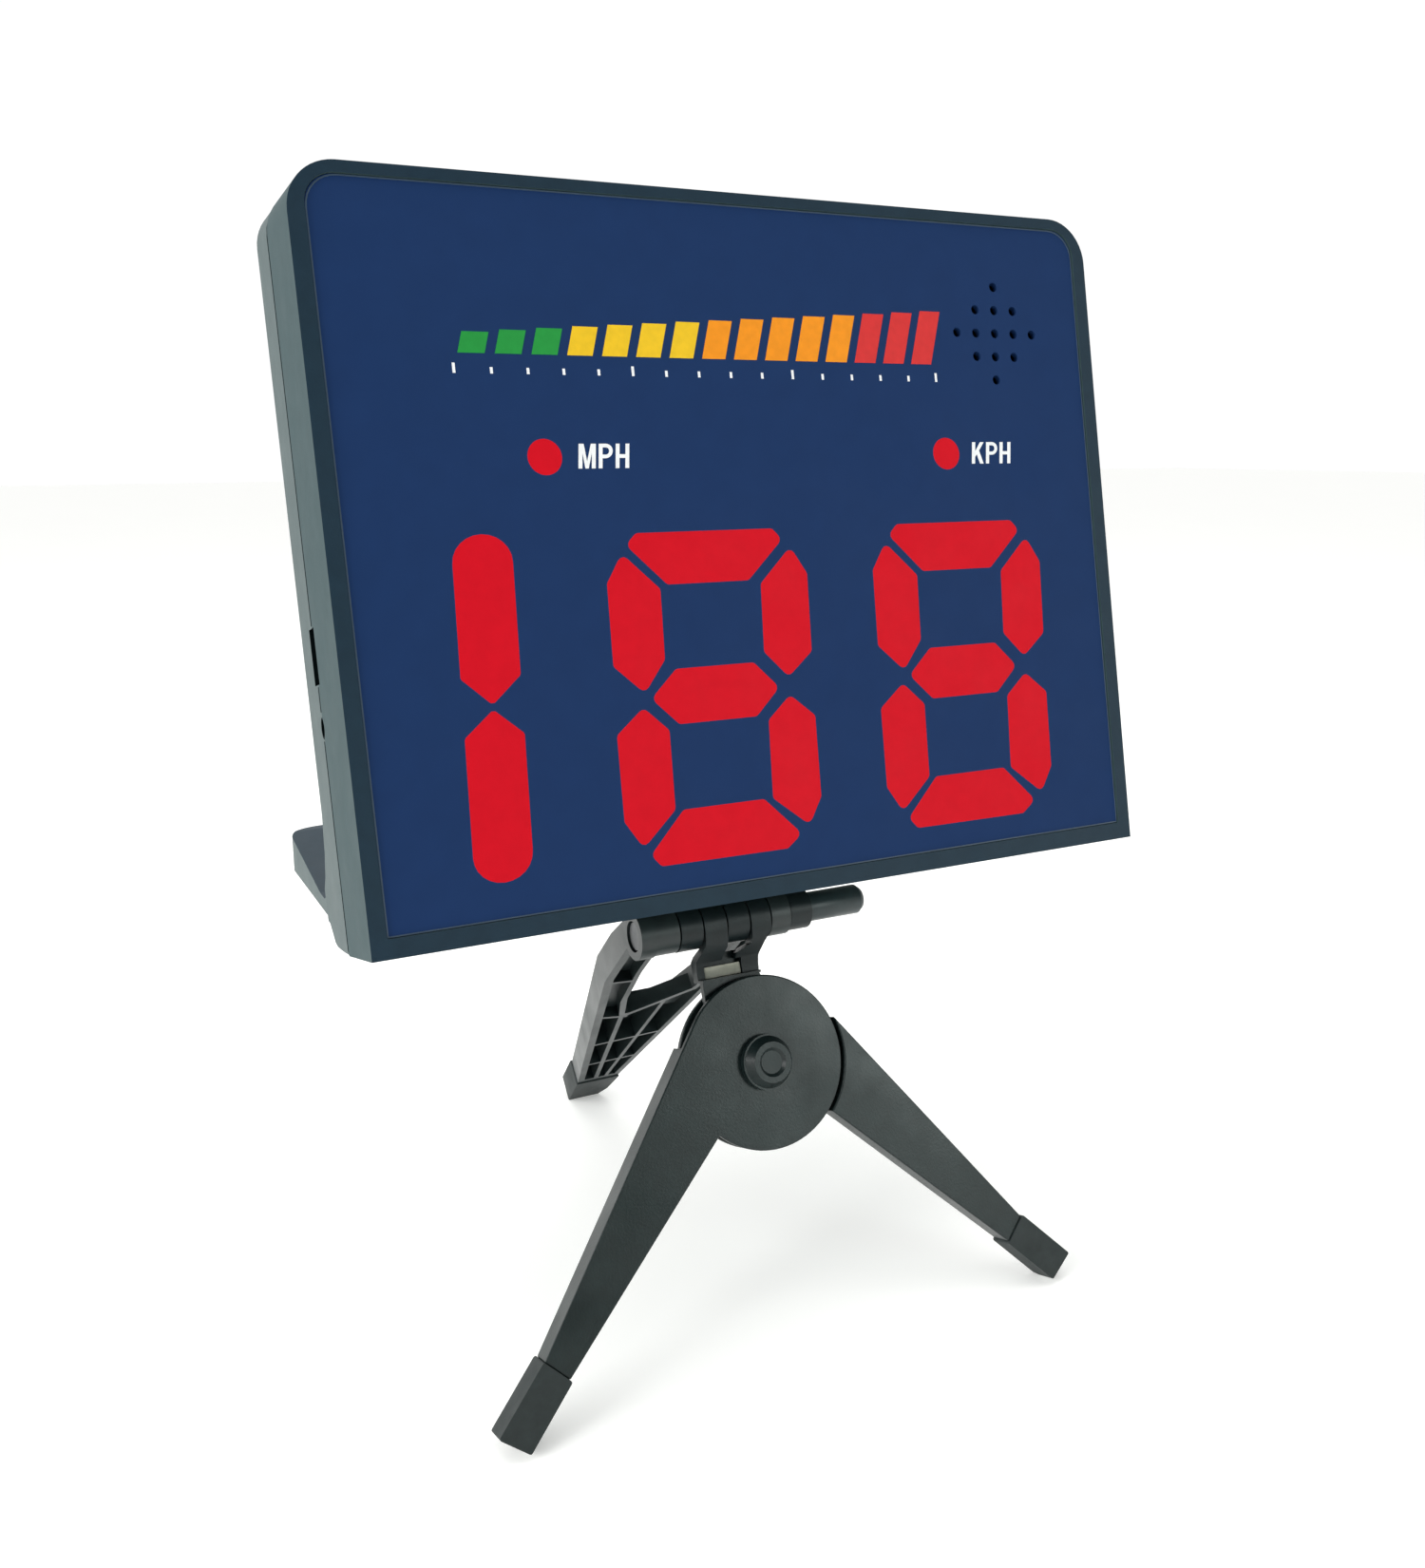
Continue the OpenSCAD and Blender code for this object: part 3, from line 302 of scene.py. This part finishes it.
GLYPH = {
    "M": (3.45, [[(0, 0), (0.78, 0), (0.78, 3.1), (1.40, 0), (2.05, 0), (2.67, 3.1), (2.67, 0), (3.45, 0), (3.45, 4.8), (2.45, 4.8), (1.725, 1.35), (1.0, 4.8), (0, 4.8)]]),
    "P": (2.84, [[(0, 0), (0.78, 0), (0.78, 4.8), (0, 4.8)],
                 [(0.78, 1.95)] + arc(1.415, 3.375, 1.425, -90, 90) + [(0.78, 4.8), (0.78, 4.08)] + arc(1.415, 3.375, 0.705, 90, -90) + [(0.78, 2.67)]]),
    "H": (2.78, [[(0, 0), (0.78, 0), (0.78, 2.0), (2.0, 2.0), (2.0, 0), (2.78, 0), (2.78, 4.8), (2.0, 4.8), (2.0, 2.72), (0.78, 2.72), (0.78, 4.8), (0, 4.8)]]),
    "K": (2.95, [[(0, 0), (0.78, 0), (0.78, 1.5), (1.2, 2.1), (2.05, 0), (2.95, 0), (1.76, 2.9), (2.9, 4.8), (1.98, 4.8), (0.78, 2.75), (0.78, 4.8), (0, 4.8)]]),
}


def legend(name, text, x0, x1, z0, z1):
    total = sum(GLYPH[c][0] for c in text) + 0.6 * (len(text) - 1)
    k, h, at, polys = (x1 - x0) / total, (z1 - z0) / 4.8, 0.0, []
    for c in text:
        for pts in GLYPH[c][1]:
            polys.append([(x0 + (at + x) * k + 0.113 * (z - 2.4) * h, z0 + z * h) for x, z in pts])
        at += GLYPH[c][0] + 0.6
    v, f = prism(polys, FACE, BACK)
    return make(name, v, f, "legend_white", "head")


legend("mph_legend", "MPH", -40.0, -29.3, 89.3, 94.1)
legend("kph_legend", "KPH", 54.0, 64.7, 89.3, 94.1)

# a generic strip of slanted level bars that rise to the right, with small tick marks under it
bars = [("bar_green", 3), ("bar_yellow", 4), ("bar_orange", 5), ("bar_red", 3)]
count = sum(n for _, n in bars)
x_start, x_end, lean = -62.0, 47.0, 0.30
pitch = (x_end - x_start) / count
i = 0
for key, n in bars:
    polys = []
    for _ in range(n):
        x = x_start + pitch * i
        h = 4.0 + 7.6 * i / (count - 1)
        zb = 111.2
        w = pitch - 2.0
        polys.append([(x, zb), (x + w, zb), (x + w + lean * h, zb + h), (x + lean * h, zb + h)])
        i += 1
    v, f = prism(polys, FACE, BACK)
    make("level_" + key, v, f, key, "head")
ticks = []
for k in range(count + 1):
    x = x_start + pitch * k - 1.3
    if x + 0.5 < x_end + 2:
        ticks.append([(x, 107.4), (x + 0.55, 107.4), (x + 0.55, 109.3 if k % 5 == 0 else 108.6), (x, 109.3 if k % 5 == 0 else 108.6)])
v, f = prism(ticks, FACE, BACK)
make("level_ticks", v, f, "legend_white", "head")

# a thin lighter line round the panel's edge
hx = (hi.x - lo.x) / 2 / MM
top_z = max((v.co - O).dot(ZD) for v in nodes["display_panel"].data.vertices) / MM
v, f = ring_prism(arch(-hx + 0.04, hx - 0.04, PANEL_Z0 + 0.04, top_z - 0.04, 6.3, 0.3), arch(-hx + 0.32, hx - 0.32, PANEL_Z0 + 0.32, top_z - 0.32, 6.0, 0.2), FACE, BACK)
make("panel_edge", v, f, "edge_line", "head")

# painted shadow: a near-black strip in the gap between the housing's halves, left open at the port and at the lamp's
# hole
def strip_prism(outer, inner, y0, y1, to=D):
    n = len(outer)
    vs = [to(x, y0, z) for x, z in outer] + [to(x, y0, z) for x, z in inner] + [to(x, y1, z) for x, z in outer] + [to(x, y1, z) for x, z in inner]
    fs = []
    for i in range(n - 1):
        j = i + 1
        fs += [(i, j, n + j, n + i), (2 * n + i, 3 * n + i, 3 * n + j, 2 * n + j), (i, 2 * n + i, 2 * n + j, j), (n + i, n + j, 3 * n + j, 3 * n + i)]
    m = n - 1
    fs += [(0, n, 3 * n, 2 * n), (m, 2 * n + m, 3 * n + m, n + m)]
    return vs, fs


sx = max(v.co.x for v in bz.vertices) / MM - 0.04
st = max((v.co - O).dot(ZD) for v in bz.vertices) / MM - 0.10
sb = -seam * math.tan(math.radians(4.2)) + 0.14
lo_cut, hi_cut = 41.2, 64.0
strips = []
for dx in (0.0, 0.75):
    pts = arch(-sx + dx, sx - dx, sb + dx, st - dx, 9.46 - dx, 0.8 - dx * 0.8)
    strips.append([(-sx + dx, lo_cut)] + pts[27:36] + pts[0:27] + [(-sx + dx, hi_cut)])
v, f = strip_prism(strips[0], strips[1], seam - 0.30, seam + 1.15)
w, g = prism([[(-sx, 47.0), (-sx + 0.75, 47.0), (-sx + 0.75, 52.0), (-sx, 52.0)]], seam - 0.30, seam + 1.15)
make("painted_shadow_seam_strip", v + w, f + [tuple(i + len(v) for i in q) for q in g], "painted_shade_black", "head")

# icons on the rear buttons
def quads(cx, cz, r0, r1, a0, a1, n=18):
    out = []
    for k in range(n):
        b0, b1 = math.radians(a0 + (a1 - a0) * k / n), math.radians(a0 + (a1 - a0) * (k + 1) / n)
        out.append([(cx + r0 * math.cos(b0), cz + r0 * math.sin(b0)), (cx + r1 * math.cos(b0), cz + r1 * math.sin(b0)),
                    (cx + r1 * math.cos(b1), cz + r1 * math.sin(b1)), (cx + r0 * math.cos(b1), cz + r0 * math.sin(b1))])
    return out


for node, kind in (("power_button", "power"), ("mode_button", "mode"), ("unit_button", "unit")):
    verts = [v.co - O for v in nodes[node].data.vertices]
    yb = max(v.dot(YD) for v in verts) / MM
    cx = (min(v.x for v in verts) + max(v.x for v in verts)) / 2 / MM
    zs = [v.dot(ZD) for v in verts]
    cz = (min(zs) + max(zs)) / 2 / MM
    if kind == "power":
        polys = quads(cx, cz, 1.7, 2.3, -235, 55) + [[(cx - 0.3, cz + 0.6), (cx + 0.3, cz + 0.6), (cx + 0.3, cz + 2.7), (cx - 0.3, cz + 2.7)]]
    elif kind == "mode":
        polys = [[(cx - 2.1, cz + d - 0.3), (cx + 2.1, cz + d - 0.3), (cx + 2.1, cz + d + 0.3), (cx - 2.1, cz + d + 0.3)] for d in (-1.4, 0, 1.4)]
    else:
        polys = quads(cx - 1.3, cz, 0.0, 0.9, 0, 360, 12) + quads(cx + 1.3, cz, 0.0, 0.9, 0, 360, 12)
    v, f = prism(polys, yb - 0.03, yb + 0.03)
    make(node + "_icon", v, f, "legend_white", node)

# ---------------------------------------------------------------- floor, light and camera
floor_mat = material("floor_paper", (0.84, 0.845, 0.825), var=0.008, scale=6, rough=(0.8, 0.95), spec=0.05)
floor_bsdf = [n for n in floor_mat.node_tree.nodes if n.type == "BSDF_PRINCIPLED"][0]
floor_bsdf.inputs["Emission Color"].default_value = (1.0, 1.0, 0.985, 1)
floor_bsdf.inputs["Emission Strength"].default_value = 0.30
me = bpy.data.meshes.new("floor")
me.from_pydata([(-8, -8, 0), (8, -8, 0), (8, 8, 0), (-8, 8, 0)], [], [(0, 1, 2, 3)])
floor = bpy.data.objects.new("floor", me)
me.materials.append(floor_mat)
scene.collection.objects.link(floor)

world = bpy.data.worlds.new("studio")
scene.world = world
world.use_nodes = True
wn = world.node_tree
# white studio: full white behind and beside the object, a dimmer wall behind the camera
wtc = wn.nodes.new("ShaderNodeTexCoord")
wsep = wn.nodes.new("ShaderNodeSeparateXYZ")
wmap = wn.nodes.new("ShaderNodeMapRange")
wmap.interpolation_type = "SMOOTHSTEP"
wmap.inputs["From Min"].default_value = -0.85
wmap.inputs["From Max"].default_value = 0.0
wmap.inputs["To Min"].default_value = 0.055
wmap.inputs["To Max"].default_value = 1.03
wn.links.new(wtc.outputs["Generated"], wsep.inputs["Vector"])
wn.links.new(wsep.outputs["Y"], wmap.inputs["Value"])
# seen directly the background is plain white all round
wlp = wn.nodes.new("ShaderNodeLightPath")
wmax = wn.nodes.new("ShaderNodeMath")
wmax.operation = "MAXIMUM"
wn.links.new(wmap.outputs["Result"], wmax.inputs[0])
wn.links.new(wlp.outputs["Is Camera Ray"], wmax.inputs[1])
wn.links.new(wmax.outputs["Value"], wn.nodes["Background"].inputs["Strength"])
wn.nodes["Background"].inputs["Color"].default_value = (1.0, 1.0, 1.0, 1)


def area(name, loc, target, size, power, color=(1, 1, 1)):
    li = bpy.data.lights.new(name, "AREA")
    li.shape = "RECTANGLE"
    li.size, li.size_y = size
    li.energy = power
    li.color = color
    o = bpy.data.objects.new(name, li)
    scene.collection.objects.link(o)
    o.location = loc
    o.rotation_mode = "QUATERNION"
    o.rotation_quaternion = (Vector(target) - Vector(loc)).to_track_quat("-Z", "Y")
    return o


area("key", (-1.2, -0.20, 0.70), (0, 0, 0.10), (0.8, 0.8), 13.0)
area("top", (0.15, 0.05, 1.5), (0, 0, 0.1), (1.2, 1.2), 7.0)
area("front_box", (0.80, -1.22, 0.46), (0, -0.05, 0.07), (0.55, 0.45), 4.5, (0.90, 1.0, 0.975))

F, W, H = 1406.54, 1500.0, 1650.0
yaw, pitch, roll = math.radians(-25.82), math.radians(-14.26), math.radians(-0.26)
fwd = Vector((-math.sin(yaw) * math.cos(pitch), math.cos(yaw) * math.cos(pitch), math.sin(pitch)))
right = Vector((math.cos(yaw), math.sin(yaw), 0))
up = right.cross(fwd)
r2 = right * math.cos(roll) + up * math.sin(roll)
u2 = up * math.cos(roll) - right * math.sin(roll)
tilt_joint = [j for j in frame["joints"] if j["name"] == "head_tilt"][0]["pos_m"]
cam_data = bpy.data.cameras.new("camera")
cam = bpy.data.objects.new("camera", cam_data)
scene.collection.objects.link(cam)
loc = Vector((-0.13376, tilt_joint[1] - 0.26452, 0.1996))
cam.matrix_world = Matrix(((r2.x, u2.x, -fwd.x, loc.x), (r2.y, u2.y, -fwd.y, loc.y), (r2.z, u2.z, -fwd.z, loc.z), (0, 0, 0, 1)))
cam_data.sensor_fit = "VERTICAL"
cam_data.sensor_height = 36.0
cam_data.sensor_width = 36.0
cam_data.lens = F / H * 36.0
cam_data.clip_start = 0.005
cam_data.clip_end = 50
scene.camera = cam
scene.view_settings.view_transform = "Standard"
scene.view_settings.look = "None"
